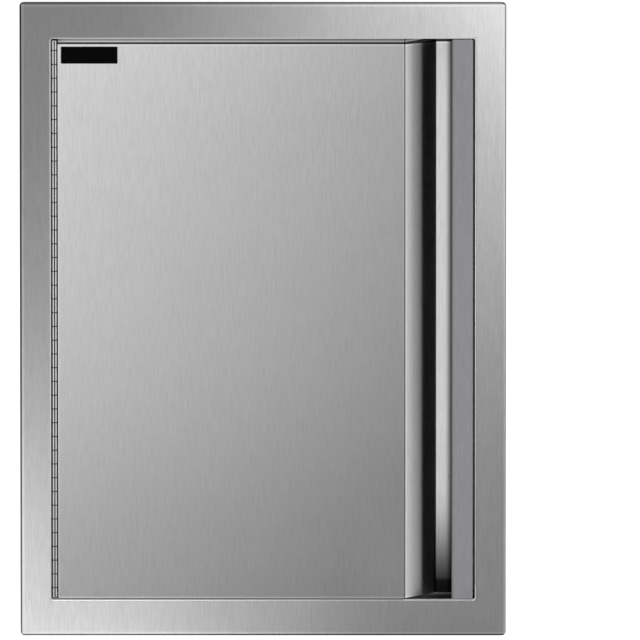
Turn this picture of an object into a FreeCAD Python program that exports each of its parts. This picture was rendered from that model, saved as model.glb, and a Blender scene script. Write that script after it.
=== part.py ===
"""Access door for an outdoor kitchen island: a pressed frame and a hinged door with a finger channel.

Millimetres. +X is to the right, +Y goes back into the island and +Z is up. The origin is the centre
of the opening, in the plane of the wall that the frame's rim rests on. The front faces -Y.
"""

import os

import FreeCAD
import Part
import Sketcher

SIZES = (
    # Sheet metal
    ("gauge", 1.0, "sheet thickness of frame, door and hinge"),
    ("bend_radius", 2.0, "outer radius of the frame's bends"),
    ("edge_radius", 1.5, "outer radius of the door's bends"),
    # Frame
    ("frame_width", 442.0, "over the flange"),
    ("frame_height", 584.0, "over the flange"),
    ("frame_corner", 4.0, "corner radius of the flange"),
    ("rim_depth", 5.0, "flange front to wall plane"),
    ("side_flange", 28.1, "flange beside the opening"),
    ("end_flange", 33.3, "flange above and below the opening"),
    ("opening_corner", 2.0, "corner radius of the opening"),
    ("sleeve_depth", 42.0, "wall plane to the rear of the walls"),
    ("fixing_radius", 2.5, "fixing holes in the walls"),
    ("fixing_depth", 22.0, "fixing holes behind the wall plane"),
    ("side_fixing_span", 300.0, "between the two holes of a side wall"),
    ("end_fixing_span", 200.0, "between the two holes of the top or bottom wall"),
    # Rear angles
    ("angle_foot", 16.0, "width of the foot that faces the door"),
    ("angle_leg", 12.0, "depth of the leg on the side wall"),
    ("angle_end_gap", 0.1, "angle to the rounded corner of the walls"),
    ("stop_foot", 8.0, "width of the foot of the top and bottom stops"),
    ("stop_leg", 12.0, "depth of their leg on the end wall"),
    ("stop_gap", 0.5, "top and bottom stops to the side angles"),
    # Hinge
    ("axis_inset", 3.15, "side wall to pin centre"),
    ("axis_front", 1.5, "pin centre in front of the wall plane"),
    ("barrel_radius", 2.5, "knuckles"),
    ("pin_radius", 1.45, "pin, tight in the frame's knuckles"),
    ("running_clearance", 0.05, "pin to the door's knuckles"),
    ("knuckle_pitch", 12.7, "one knuckle and its gap"),
    ("knuckle_gap", 0.4, "between neighbouring knuckles"),
    ("notch_clearance", 0.3, "leaf to the other leaf's knuckles"),
    ("joggle_start", 0.9, "pin centre to the joggle of a leaf"),
    ("leaf_front", 2.0, "pin centre to the front edge of a flat leaf"),
    ("leaf_rear", 16.5, "pin centre to the rear edge of a leaf"),
    ("leaf_end_gap", 8.7, "door's flat leaf to the level of the opening's end"),
    ("hinge_end_gap", 2.2, "end knuckles to the opening's end"),
    ("pin_end", 0.5, "pin beyond the end knuckles"),
    ("hinge_rivet_back", 11.5, "pin centre to the hinge rivets"),
    ("hinge_rivet_pitch", 88.9, "between hinge rivets"),
    # Door
    ("hinge_gap", 6.3, "side wall to the door's hinge side"),
    ("latch_gap", 2.0, "side wall to the door's latch side"),
    ("top_gap", 5.0, "above the door"),
    ("bottom_gap", 1.4, "below the door"),
    ("door_face", 4.0, "face in front of the wall plane"),
    ("door_back", 27.0, "rear of the pressed skin"),
    ("seam_width", 13.0, "return flange that carries the liner"),
    ("slope_run", 29.2, "width of the slanted channel wall"),
    ("finger_space", 13.6, "foot of the slanted wall to the grip edge"),
    ("liner_margin", 0.5, "liner inside the skin's outline"),
    ("liner_seam", 0.2, "liner or stile flange to the foot of the slanted wall"),
    ("channel_floor", 26.0, "floor of the channel behind the wall plane"),
    # Grip stile
    ("stile_width", 19.3, "strip seen from the front"),
    ("stile_gap", 0.8, "stile to the top or bottom wall"),
    ("stile_rivet_inset", 10.9, "outer edge to the stile rivets"),
    ("hem_width", 6.0, "folded grip edge"),
    # Rivets
    ("rivet_radius", 1.6, "shank"),
    ("rivet_head", 2.7, "head radius"),
    ("rivet_rise", 0.9, "height of head and tail"),
    # Magnetic catches
    ("catch_drop", 53.7, "end of the opening to the middle of a catch"),
    ("catch_inset", 8.75, "side wall to the middle of a catch"),
    ("catch_width", 13.5, "housing"),
    ("catch_length", 52.0, "housing"),
    ("catch_depth", 10.0, "housing"),
    ("magnet_width", 5.0, "magnet between its pole plates"),
    ("magnet_length", 30.0, "magnet and pole plates"),
    ("pole_gauge", 1.5, "pole plate thickness"),
    ("pole_reach", 1.95, "pole plates in front of the housing"),
    ("catch_floor", 2.0, "housing behind the magnet"),
    ("magnet_setback", 0.6, "magnet behind the housing's front"),
    ("screw_seat", 2.0, "depth of the screw head's seat"),
    ("screw_span", 43.0, "between the screws of a catch"),
    ("screw_radius", 1.6, "screw shank"),
    ("screw_head", 2.5, "screw head radius"),
    ("strike_width", 12.5, "strike plate"),
    ("strike_length", 50.0, "strike plate"),
    ("strike_rivet_span", 38.0, "between the rivets of a strike plate"),
    # Badge plate
    ("badge_inset", 3.2, "door's hinge side to the plate"),
    ("badge_drop", 2.4, "door's top edge to the plate"),
    ("badge_width", 51.4, "plate"),
    ("badge_height", 15.5, "plate"),
    ("badge_gauge", 0.8, "plate thickness"),
)

# Places that follow from the sizes; a word after @ is a name in the sheet.
HALF_WIDTH = "(@frame_width / 2 - @side_flange)"
HALF_HEIGHT = "(@frame_height / 2 - @end_flange)"
PIN_X = f"-({HALF_WIDTH} - @axis_inset)"
PIN_Y = "-@axis_front"
HINGE_HALF = f"({HALF_HEIGHT} - @hinge_end_gap)"
DOOR_LEFT = f"-({HALF_WIDTH} - @hinge_gap)"
DOOR_TOP = f"({HALF_HEIGHT} - @top_gap)"
DOOR_BOTTOM = f"-({HALF_HEIGHT} - @bottom_gap)"
DOOR_REAR = "(@door_back + @gauge)"
STILE_RIGHT = f"({HALF_WIDTH} - @latch_gap)"
STILE_LEFT = f"({STILE_RIGHT} - @stile_width)"
STILE_HALF = f"({HALF_HEIGHT} - @stile_gap)"
CHANNEL_FOOT = f"({STILE_LEFT} - @finger_space)"
CHANNEL_BEND = f"({CHANNEL_FOOT} - @slope_run)"
CATCH_X = f"({HALF_WIDTH} - @catch_inset)"
CATCH_Z = f"({HALF_HEIGHT} - @catch_drop)"
ANGLE_FRONT = "(@sleeve_depth - @gauge)"
HINGE_RIVET_ROWS = range(-2, 3)

document = FreeCAD.newDocument("access_door")
sizes = document.addObject("Spreadsheet::Sheet", "sizes")
written = []


def fill_sheet():
    """One row for each driving dimension: its name, its value and what it measures."""
    for row, (alias, value, note) in enumerate(SIZES, start=1):
        sizes.set(f"A{row}", alias)
        sizes.set(f"B{row}", str(value))
        sizes.set(f"C{row}", note)
        sizes.setAlias(f"B{row}", alias)
    document.recompute()


def bound(text):
    """Turn words of the sheet in a formula into references to it."""
    for alias in sorted((row[0] for row in SIZES), key=len, reverse=True):
        text = text.replace("@" + alias, "sizes." + alias)
    return text


def worth(text):
    """The number that a formula on the sheet gives."""
    return float(sizes.evalExpression(bound(text)))


def new_body(label):
    body = document.addObject("PartDesign::Body", label)
    body.Label = label
    written.append(body)
    return body


def new_sketch(body, plane, lift="0"):
    """A sketch on one of the body's own origin planes, lifted along the plane's normal."""
    support = next(item for item in body.Origin.OriginFeatures if item.Role == plane)
    sketch = body.newObject("Sketcher::SketchObject", body.Label + "_sketch")
    sketch.AttachmentSupport = [(support, "")]
    sketch.MapMode = "FlatFace"
    sketch.setExpression("AttachmentOffset.Base.z", bound(lift))
    return sketch


def pin_point(sketch, edge, point, place):
    """Fix one point of an edge at two formulas."""
    for kind, text in zip(("DistanceX", "DistanceY"), place):
        index = sketch.addConstraint(Sketcher.Constraint(kind, -1, 1, edge, point, worth(text)))
        sketch.setExpression(f"Constraints[{index}]", bound(text))


def draw_polygon(sketch, corners):
    """A closed outline through corners given as pairs of formulas."""
    points = [FreeCAD.Vector(worth(x), worth(y), 0) for x, y in corners]
    count = len(points)
    first = sketch.GeometryCount
    for index in range(count):
        line = Part.LineSegment(points[index], points[(index + 1) % count])
        sketch.addGeometry(line, False)
    for index in range(count):
        following = first + (index + 1) % count
        sketch.addConstraint(Sketcher.Constraint("Coincident", first + index, 2, following, 1))
        pin_point(sketch, first + index, 1, corners[index])


def draw_box(sketch, left, bottom, right, top):
    draw_polygon(sketch, [(left, bottom), (right, bottom), (right, top), (left, top)])


def draw_rounded_box(sketch, left, bottom, right, top, radius):
    """A rectangle with four equal corner arcs."""
    inner_left, inner_right = f"{left} + ({radius})", f"{right} - ({radius})"
    inner_bottom, inner_top = f"{bottom} + ({radius})", f"{top} - ({radius})"
    sides = [
        ((inner_left, bottom), (inner_right, bottom)),
        ((right, inner_bottom), (right, inner_top)),
        ((inner_right, top), (inner_left, top)),
        ((left, inner_top), (left, inner_bottom)),
    ]
    centres = [
        (inner_right, inner_bottom),
        (inner_right, inner_top),
        (inner_left, inner_top),
        (inner_left, inner_bottom),
    ]
    first = sketch.GeometryCount
    for start, end in sides:
        ends = [FreeCAD.Vector(worth(x), worth(y), 0) for x, y in (start, end)]
        sketch.addGeometry(Part.LineSegment(*ends), False)
    quarter = 1.5707963267948966
    for index, (x, y) in enumerate(centres):
        middle = FreeCAD.Vector(worth(x), worth(y), 0)
        circle = Part.Circle(middle, FreeCAD.Vector(0, 0, 1), worth(radius))
        arc = Part.ArcOfCircle(circle, quarter * (index - 1), quarter * index)
        sketch.addGeometry(arc, False)
    for index, (start, end) in enumerate(sides):
        pin_point(sketch, first + index, 1, start)
        pin_point(sketch, first + index, 2, end)
    for index in range(4):
        arc = first + 4 + index
        following = first + (index + 1) % 4
        sketch.addConstraint(Sketcher.Constraint("Coincident", first + index, 2, arc, 1))
        sketch.addConstraint(Sketcher.Constraint("Coincident", arc, 2, following, 1))
        corner = sketch.addConstraint(Sketcher.Constraint("Radius", arc, worth(radius)))
        sketch.setExpression(f"Constraints[{corner}]", bound(radius))


def draw_circle(sketch, x, y, radius):
    middle = FreeCAD.Vector(worth(x), worth(y), 0)
    circle = Part.Circle(middle, FreeCAD.Vector(0, 0, 1), worth(radius))
    edge = sketch.addGeometry(circle, False)
    pin_point(sketch, edge, 3, (x, y))
    size = sketch.addConstraint(Sketcher.Constraint("Radius", edge, worth(radius)))
    sketch.setExpression(f"Constraints[{size}]", bound(radius))


def pad(body, sketch, length):
    """Add material along the sketch plane's normal."""
    feature = body.newObject("PartDesign::Pad", body.Label + "_pad")
    feature.Profile = sketch
    feature.setExpression("Length", bound(length))
    document.recompute()
    return feature


def pocket(body, sketch, length, along_normal=False):
    """Remove material against the plane's normal, or along it, and make sure that some went."""
    before = body.Shape.Volume
    feature = body.newObject("PartDesign::Pocket", body.Label + "_pocket")
    feature.Profile = sketch
    feature.Reversed = along_normal
    feature.setExpression("Length", bound(length))
    document.recompute()
    if not feature.Shape.Volume < before - 0.01:
        raise RuntimeError(f"{feature.Label} cuts nothing")
    return feature


def repeat_along_z(body, feature, pitch, count):
    """A row of equal features, downwards from the first."""
    upright = next(item for item in body.Origin.OriginFeatures if item.Role == "Z_Axis")
    row = body.newObject("PartDesign::LinearPattern", body.Label + "_row")
    row.Originals = [feature]
    row.Direction = (upright, [""])
    row.Reversed = True
    row.Mode = "Spacing"
    row.setExpression("Offset", bound(pitch))
    row.Occurrences = count
    body.Tip = row
    document.recompute()
    return row


def fillet(body, chosen, radius):
    """Round the edges of the body that the given test picks."""
    edges = [f"Edge{number}" for number, edge in enumerate(body.Shape.Edges, start=1) if chosen(edge)]
    if not edges:
        raise RuntimeError(f"{body.Label}: no edge to round")
    base = body.Tip
    feature = body.newObject("PartDesign::Fillet", body.Label + "_fillet")
    feature.Base = (base, edges)
    feature.setExpression("Radius", bound(radius))
    document.recompute()
    return feature


def lies_at(edge, **place):
    """Whether the whole edge has the given x, y or z coordinates."""
    box = edge.BoundBox
    limits = {"x": (box.XMin, box.XMax), "y": (box.YMin, box.YMax), "z": (box.ZMin, box.ZMax)}
    return all(abs(end - value) < 0.02 for axis, value in place.items() for end in limits[axis])


def runs_along(edge, axis):
    """Whether a straight edge runs along x, y or z."""
    if len(edge.Vertexes) != 2 or not isinstance(edge.Curve, Part.Line):
        return False
    step = edge.Vertexes[1].Point - edge.Vertexes[0].Point
    across = {"x": (step.y, step.z), "y": (step.x, step.z), "z": (step.x, step.y)}[axis]
    return max(abs(value) for value in across) < 1e-4


def rivet(shank_length):
    """A set rivet along +Z: its head stands above z = 0, its shank and tail hang below."""
    radius, head, rise = worth("@rivet_radius"), worth("@rivet_head"), worth("@rivet_rise")
    low = -shank_length - rise
    top = Part.makeCylinder(head, rise)
    top = top.makeFillet(0.5 * rise, [edge for edge in top.Edges if lies_at(edge, z=rise)])
    tail = Part.makeCylinder(0.85 * head, rise, FreeCAD.Vector(0, 0, low))
    tail = tail.makeFillet(0.4 * rise, [edge for edge in tail.Edges if lies_at(edge, z=low)])
    shank = Part.makeCylinder(radius, shank_length + 0.2, FreeCAD.Vector(0, 0, -shank_length - 0.1))
    return top.fuse([tail, shank]).removeSplitter()


def set_out(label, solids):
    """One object that holds several equal loose pieces."""
    feature = document.addObject("Part::Feature", label)
    feature.Label = label
    feature.Shape = solids[0] if len(solids) == 1 else Part.Compound(solids)
    feature.Placement = FreeCAD.Placement()
    written.append(feature)
    return feature


def placed(shape, point, direction):
    """A copy with its +Z turned to a direction and its origin moved to a point."""
    turn = FreeCAD.Rotation(FreeCAD.Vector(0, 0, 1), FreeCAD.Vector(*direction))
    copy = shape.copy()
    copy.Placement = FreeCAD.Placement(FreeCAD.Vector(*point), turn)
    return copy


def both(text):
    """A formula and its opposite."""
    return f"-({text})", text


def hinge_rivet_places(shift):
    """Depth and height of one leaf's rivets."""
    rows = [f"{row} * @hinge_rivet_pitch + {shift}" for row in HINGE_RIVET_ROWS]
    return [(f"{PIN_Y} + @hinge_rivet_back", height) for height in rows]


def liner_rivet_places():
    """Across and up: two columns and two short rows in the seam round the door's back."""
    columns = f"{DOOR_LEFT} + @seam_width / 2", f"{CHANNEL_FOOT} - @seam_width / 2"
    heights = [f"{share} * {HALF_HEIGHT}" for share in (-0.87, -0.29, 0.29, 0.87)]
    rows = f"{DOOR_BOTTOM} + @seam_width / 2", f"{DOOR_TOP} - @seam_width / 2"
    across = [f"{share} * {HALF_WIDTH}" for share in (-0.36, 0.24)]
    return [(x, z) for x in columns for z in heights] + [(x, z) for x in across for z in rows]


def stile_rivet_places():
    """Across and up: one column in the flange of the grip stile."""
    shares = (-0.95, -0.58, -0.19, 0.19, 0.58, 0.95)
    return [(f"{STILE_RIGHT} - @stile_rivet_inset", f"{share} * {STILE_HALF}") for share in shares]


def strike_rivet_places(middles):
    """Across and up: two rivets for each strike plate."""
    spans = both("@strike_rivet_span / 2")
    return [(CATCH_X, f"{middle} + {span}") for middle in middles for span in spans]


def catch_screw_places(middles):
    """Across and up: two screws for each catch."""
    return [(CATCH_X, f"{middle} + {span}") for middle in middles for span in both("@screw_span / 2")]


def drill(body, plane, lift, places, radius, depth, along_normal=False):
    """Round holes through one sheet."""
    holes = new_sketch(body, plane, lift)
    for across, up in places:
        draw_circle(holes, across, up, radius)
    pocket(body, holes, depth, along_normal)


def face_frame():
    """Flange, bent-back rim and the four walls of the opening, folded from one sheet."""
    body = new_body("face_frame")
    plate = new_sketch(body, "XZ_Plane")
    (left, right), (low, high) = both("@frame_width / 2"), both("@frame_height / 2")
    draw_rounded_box(plate, left, low, right, high, "@frame_corner")
    pad(body, plate, "@rim_depth")
    front = worth("-@rim_depth")
    fillet(body, lambda edge: lies_at(edge, y=front), "@bend_radius")

    hollow = new_sketch(body, "XZ_Plane")
    (left, right), (low, high) = both("@frame_width / 2 - @gauge"), both("@frame_height / 2 - @gauge")
    draw_rounded_box(hollow, left, low, right, high, "@frame_corner - @gauge")
    pocket(body, hollow, "@rim_depth - @gauge", along_normal=True)

    walls = new_sketch(body, "XZ_Plane", "-@sleeve_depth")
    (left, right), (low, high) = both(f"{HALF_WIDTH} + @gauge"), both(f"{HALF_HEIGHT} + @gauge")
    draw_rounded_box(walls, left, low, right, high, "@opening_corner + @gauge")
    pad(body, walls, "@sleeve_depth + @rim_depth - @gauge")
    hole = new_sketch(body, "XZ_Plane", "-@sleeve_depth")
    (left, right), (low, high) = both(HALF_WIDTH), both(HALF_HEIGHT)
    draw_rounded_box(hole, left, low, right, high, "@opening_corner")
    pocket(body, hole, "@sleeve_depth + @rim_depth", along_normal=True)

    half_width = worth(HALF_WIDTH) + 0.01

    def lip(edge):
        box = edge.BoundBox
        return lies_at(edge, y=front) and max(abs(box.XMin), abs(box.XMax)) < half_width

    fillet(body, lip, "@bend_radius")
    behind = worth("@gauge - @rim_depth")
    fillet(body, lambda edge: lies_at(edge, y=behind), "@bend_radius - @gauge")

    through = "3 * @gauge"
    sides = [("@fixing_depth", height) for height in both("@side_fixing_span / 2")]
    ends = [(across, "@fixing_depth") for across in both("@end_fixing_span / 2")]
    for sign, outward in (("-", False), ("", True)):
        side, end = f"{sign}({HALF_WIDTH} - @gauge)", f"{sign}({HALF_HEIGHT} - @gauge)"
        drill(body, "YZ_Plane", side, sides, "@fixing_radius", through, outward)
        drill(body, "XY_Plane", end, ends, "@fixing_radius", through, outward)
    inside = f"-({HALF_WIDTH} - @gauge)"
    drill(body, "YZ_Plane", inside, hinge_rivet_places("0"), "@rivet_radius", through)


def rear_angle(label, side):
    """An angle inside a side wall: its leg lies on the wall, its foot faces the door's back."""
    body = new_body(label)
    half = f"({HALF_HEIGHT} - @opening_corner - @angle_end_gap)"
    profile = new_sketch(body, "XY_Plane", f"-{half}")
    wall, sheet = f"{side}{HALF_WIDTH}", f"{side}({HALF_WIDTH} - @gauge)"
    foot = f"{side}({HALF_WIDTH} - @angle_foot)"
    draw_polygon(
        profile,
        [
            (wall, "@sleeve_depth - @angle_leg"),
            (wall, "@sleeve_depth"),
            (foot, "@sleeve_depth"),
            (foot, ANGLE_FRONT),
            (sheet, ANGLE_FRONT),
            (sheet, "@sleeve_depth - @angle_leg"),
        ],
    )
    pad(body, profile, f"2 * {half}")
    if side == "":
        places = catch_screw_places(both(CATCH_Z))
        drill(body, "XZ_Plane", "-@sleeve_depth", places, "@screw_radius", "@gauge", along_normal=True)


def rear_stop(label, side):
    """An angle inside the top or bottom wall, between the feet of the side angles."""
    body = new_body(label)
    half = f"({HALF_WIDTH} - @angle_foot - @stop_gap)"
    profile = new_sketch(body, "YZ_Plane", f"-{half}")
    wall, sheet = f"{side}{HALF_HEIGHT}", f"{side}({HALF_HEIGHT} - @gauge)"
    foot = f"{side}({HALF_HEIGHT} - @stop_foot)"
    draw_polygon(
        profile,
        [
            ("@sleeve_depth - @stop_leg", wall),
            ("@sleeve_depth", wall),
            ("@sleeve_depth", foot),
            (ANGLE_FRONT, foot),
            (ANGLE_FRONT, sheet),
            ("@sleeve_depth - @stop_leg", sheet),
        ],
    )
    pad(body, profile, f"2 * {half}")


def knuckle_count():
    """An odd number of knuckles, so that the frame's leaf has both ends."""
    inner = int((2 * worth(HINGE_HALF) - worth("@knuckle_pitch")) / worth("@knuckle_pitch"))
    return inner + 2 - (inner + 1) % 2


def hinge_leaf(label, side, gaps, barrel_half, flat_half, bore, rivet_shift):
    """A leaf with its knuckles: side is the sign of the leaf's way across from the pin."""
    body = new_body(label)
    other = "+" if side == "-" else "-"

    barrel = new_sketch(body, "XY_Plane", f"-{barrel_half}")
    draw_circle(barrel, PIN_X, PIN_Y, "@barrel_radius")
    pad(body, barrel, f"2 * {barrel_half}")

    neck = new_sketch(body, "XY_Plane", f"-{barrel_half}")
    joggle = [
        ("@barrel_radius", "0"),
        ("@barrel_radius", "@joggle_start"),
        ("@axis_inset", "@leaf_front"),
        ("@axis_inset", "@leaf_front + 0.5 * @gauge"),
        ("@axis_inset - @gauge", "@leaf_front + 0.5 * @gauge"),
        ("@axis_inset - @gauge", "@leaf_front + 0.3 * @gauge"),
        ("@barrel_radius - @gauge", "@joggle_start + 0.4 * @gauge"),
        ("@barrel_radius - @gauge", "0"),
    ]
    draw_polygon(neck, [(f"{PIN_X} {side} ({x})", f"{PIN_Y} + {y}") for x, y in joggle])
    pad(body, neck, f"2 * {barrel_half}")

    leaf = new_sketch(body, "XY_Plane", f"-{flat_half}")
    outer, inner = f"{PIN_X} {side} @axis_inset", f"{PIN_X} {side} (@axis_inset - @gauge)"
    draw_box(leaf, outer, f"{PIN_Y} + @leaf_front", inner, f"{PIN_Y} + @leaf_rear")
    pad(body, leaf, f"2 * {flat_half}")

    eye = new_sketch(body, "XY_Plane", f"{barrel_half}")
    draw_circle(eye, PIN_X, PIN_Y, bore)
    pocket(body, eye, f"2 * {barrel_half}")

    first = f"{gaps - 1} * @knuckle_pitch + (@knuckle_pitch + @knuckle_gap) / 2"
    notch = new_sketch(body, "XY_Plane", first)
    clear = "(@barrel_radius + @notch_clearance)"
    near, far = f"{PIN_X} {side} (@axis_inset + @notch_clearance)", f"{PIN_X} {other} {clear}"
    draw_polygon(
        notch,
        [
            (far, f"{PIN_Y} - {clear}"),
            (near, f"{PIN_Y} - {clear}"),
            (near, f"{PIN_Y} + @leaf_front"),
            (inner, f"{PIN_Y} + @leaf_front"),
            (inner, f"{PIN_Y} + {clear}"),
            (far, f"{PIN_Y} + {clear}"),
        ],
    )
    cut = pocket(body, notch, "@knuckle_pitch + @knuckle_gap")
    repeat_along_z(body, cut, "2 * @knuckle_pitch", gaps)
    places = hinge_rivet_places(rivet_shift)
    beside = f"{outer} {side} @gauge"
    drill(body, "YZ_Plane", beside, places, "@rivet_radius", "3 * @gauge", along_normal=side == "-")


def hinge_frame_leaf():
    """The leaf on the frame's left wall, with the end knuckles."""
    gaps = (knuckle_count() - 1) // 2
    hinge_leaf("hinge_frame_leaf", "-", gaps, HINGE_HALF, HINGE_HALF, "@pin_radius", "0")


def hinge_door_leaf():
    """The leaf on the door's side, whose knuckles stand between the frame's."""
    count = knuckle_count()
    barrel = f"({count - 2} * @knuckle_pitch / 2 - @knuckle_gap / 2)"
    flat = f"({HALF_HEIGHT} - @leaf_end_gap)"
    bore = "@pin_radius + @running_clearance"
    hinge_leaf("hinge_door_leaf", "+", (count - 3) // 2, barrel, flat, bore, "@knuckle_pitch")


def hinge_pin():
    """One straight rod through all the knuckles."""
    pin = document.addObject("Part::Cylinder", "hinge_pin")
    pin.Label = "hinge_pin"
    half = f"({HINGE_HALF} + @pin_end)"
    pin.setExpression("Radius", bound("@pin_radius"))
    pin.setExpression("Height", bound(f"2 * {half}"))
    pin.setExpression("Placement.Base.x", bound(PIN_X))
    pin.setExpression("Placement.Base.y", bound(PIN_Y))
    pin.setExpression("Placement.Base.z", bound(f"-{half}"))
    written.append(pin)


def hinge_rivets(label, wall, way, shift):
    """Rivets of one leaf, through the leaf and the sheet it lies on; heads between the leaves."""
    gauge = worth("@gauge")
    shape = rivet(2 * gauge)
    face = worth(wall) + way * gauge
    places = [(worth(depth), worth(height)) for depth, height in hinge_rivet_places(shift)]
    set_out(label, [placed(shape, (face, depth, height), (way, 0, 0)) for depth, height in places])


def door_skin():
    """The door's front: face, folded sides, slanted channel wall and channel floor in one sheet."""
    body = new_body("door_skin")
    outer = new_sketch(body, "XY_Plane", DOOR_BOTTOM)
    end = f"{STILE_RIGHT} - @gauge"
    draw_polygon(
        outer,
        [
            (DOOR_LEFT, "-@door_face"),
            (CHANNEL_BEND, "-@door_face"),
            (CHANNEL_FOOT, "@channel_floor"),
            (end, "@channel_floor"),
            (end, "@door_back"),
            (DOOR_LEFT, "@door_back"),
        ],
    )
    height = f"{DOOR_TOP} - ({DOOR_BOTTOM})"
    pad(body, outer, height)
    left, face, bend, foot = (worth(text) for text in (DOOR_LEFT, "-@door_face", CHANNEL_BEND, CHANNEL_FOOT))
    top, bottom = worth(DOOR_TOP), worth(DOOR_BOTTOM)

    def bent(edge):
        upright = runs_along(edge, "z") and (lies_at(edge, x=left, y=face) or lies_at(edge, x=bend))
        level = lies_at(edge, y=face, z=top) or lies_at(edge, y=face, z=bottom)
        return upright or level

    fillet(body, bent, "@edge_radius")
    fillet(body, lambda edge: runs_along(edge, "z") and lies_at(edge, x=foot), "@bend_radius")

    inner = new_sketch(body, "XY_Plane", f"{DOOR_TOP} - @gauge")
    rise = "(@channel_floor + @door_face)"
    slope = f"@gauge * sqrt(@slope_run * @slope_run + {rise} * {rise}) / {rise}"
    lean = f"@gauge * @slope_run / {rise}"
    draw_polygon(
        inner,
        [
            (f"{DOOR_LEFT} + @gauge", "-@door_face + @gauge"),
            (f"{CHANNEL_BEND} - {slope} + {lean}", "-@door_face + @gauge"),
            (f"{CHANNEL_FOOT} - {slope}", "@channel_floor"),
            (f"{DOOR_LEFT} + @gauge", "@channel_floor"),
        ],
    )
    pocket(body, inner, f"{height} - 2 * @gauge")
    window = new_sketch(body, "XZ_Plane", "-@door_back")
    draw_rounded_box(
        window,
        f"{DOOR_LEFT} + @seam_width",
        f"{DOOR_BOTTOM} + @seam_width",
        f"{CHANNEL_FOOT} - @seam_width",
        f"{DOOR_TOP} - @seam_width",
        "@bend_radius",
    )
    pocket(body, window, "@gauge", along_normal=True)

    seam = liner_rivet_places() + stile_rivet_places() + strike_rivet_places(both(CATCH_Z))
    drill_back(body, seam, "@door_back")
    places = hinge_rivet_places("@knuckle_pitch")
    drill(body, "YZ_Plane", f"{DOOR_LEFT} - @gauge", places, "@rivet_radius", "3 * @gauge", along_normal=True)


def drill_back(body, places, rear):
    """Rivet holes forwards through the sheet whose rear face lies at a depth."""
    drill(body, "XZ_Plane", f"-({rear})", places, "@rivet_radius", "@gauge", along_normal=True)


def door_liner():
    """The flat sheet that closes the door's back."""
    body = new_body("door_liner")
    sheet = new_sketch(body, "XZ_Plane", f"-{DOOR_REAR}")
    draw_rounded_box(
        sheet,
        f"{DOOR_LEFT} + @liner_margin",
        f"{DOOR_BOTTOM} + @liner_margin",
        f"{CHANNEL_FOOT} - @liner_seam",
        f"{DOOR_TOP} - @liner_margin",
        "@bend_radius",
    )
    pad(body, sheet, "@gauge")
    drill_back(body, liner_rivet_places(), DOOR_REAR)


def grip_stile():
    """The upright strip over the channel, with a folded grip edge and a rear flange."""
    body = new_body("grip_stile")
    profile = new_sketch(body, "XY_Plane", f"-{STILE_HALF}")
    behind, folded = "-@door_face + @gauge", "-@door_face + 2 * @gauge"
    draw_polygon(
        profile,
        [
            (STILE_LEFT, "-@door_face"),
            (STILE_RIGHT, "-@door_face"),
            (STILE_RIGHT, DOOR_REAR),
            (f"{CHANNEL_FOOT} + @liner_seam", DOOR_REAR),
            (f"{CHANNEL_FOOT} + @liner_seam", "@door_back"),
            (f"{STILE_RIGHT} - @gauge", "@door_back"),
            (f"{STILE_RIGHT} - @gauge", behind),
            (f"{STILE_LEFT} + @hem_width", behind),
            (f"{STILE_LEFT} + @hem_width", folded),
            (STILE_LEFT, folded),
        ],
    )
    pad(body, profile, f"2 * {STILE_HALF}")
    right, grip, face = worth(STILE_RIGHT), worth(STILE_LEFT), worth("-@door_face")
    fillet(body, lambda edge: runs_along(edge, "z") and lies_at(edge, x=right, y=face), "@edge_radius")
    fillet(body, lambda edge: runs_along(edge, "z") and lies_at(edge, x=grip), "0.95 * @gauge")

    corners = new_sketch(body, "XZ_Plane", f"-({DOOR_REAR} + @gauge)")
    beyond = f"({STILE_HALF} + @stile_width)"
    left = f"{CHANNEL_FOOT} - @stile_width"
    draw_box(corners, f"{left} - @stile_width", f"-{beyond}", f"{STILE_RIGHT} + @stile_width", beyond)
    draw_rounded_box(corners, left, f"-{STILE_HALF}", STILE_RIGHT, STILE_HALF, "@opening_corner")
    pocket(body, corners, f"{DOOR_REAR} + @door_face + 2 * @gauge", along_normal=True)
    drill_back(body, stile_rivet_places() + strike_rivet_places(both(CATCH_Z)), DOOR_REAR)


def back_rivets(label, places, rear, layers):
    """Rivets along Y: heads on the door's back, tails inside."""
    shape = rivet(layers * worth("@gauge"))
    seat = worth(rear)
    set_out(label, [placed(shape, (worth(x), seat, worth(z)), (0, 1, 0)) for x, z in places])


def strike_plate(label, middle):
    """Steel plate on the door's back that a magnet pulls on."""
    body = new_body(label)
    plate = new_sketch(body, "XZ_Plane", f"-({DOOR_REAR} + @gauge)")
    draw_rounded_box(
        plate,
        f"{CATCH_X} - @strike_width / 2",
        f"{middle} - @strike_length / 2",
        f"{CATCH_X} + @strike_width / 2",
        f"{middle} + @strike_length / 2",
        "@bend_radius",
    )
    pad(body, plate, "@gauge")
    drill_back(body, strike_rivet_places([middle]), f"{DOOR_REAR} + @gauge")


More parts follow.
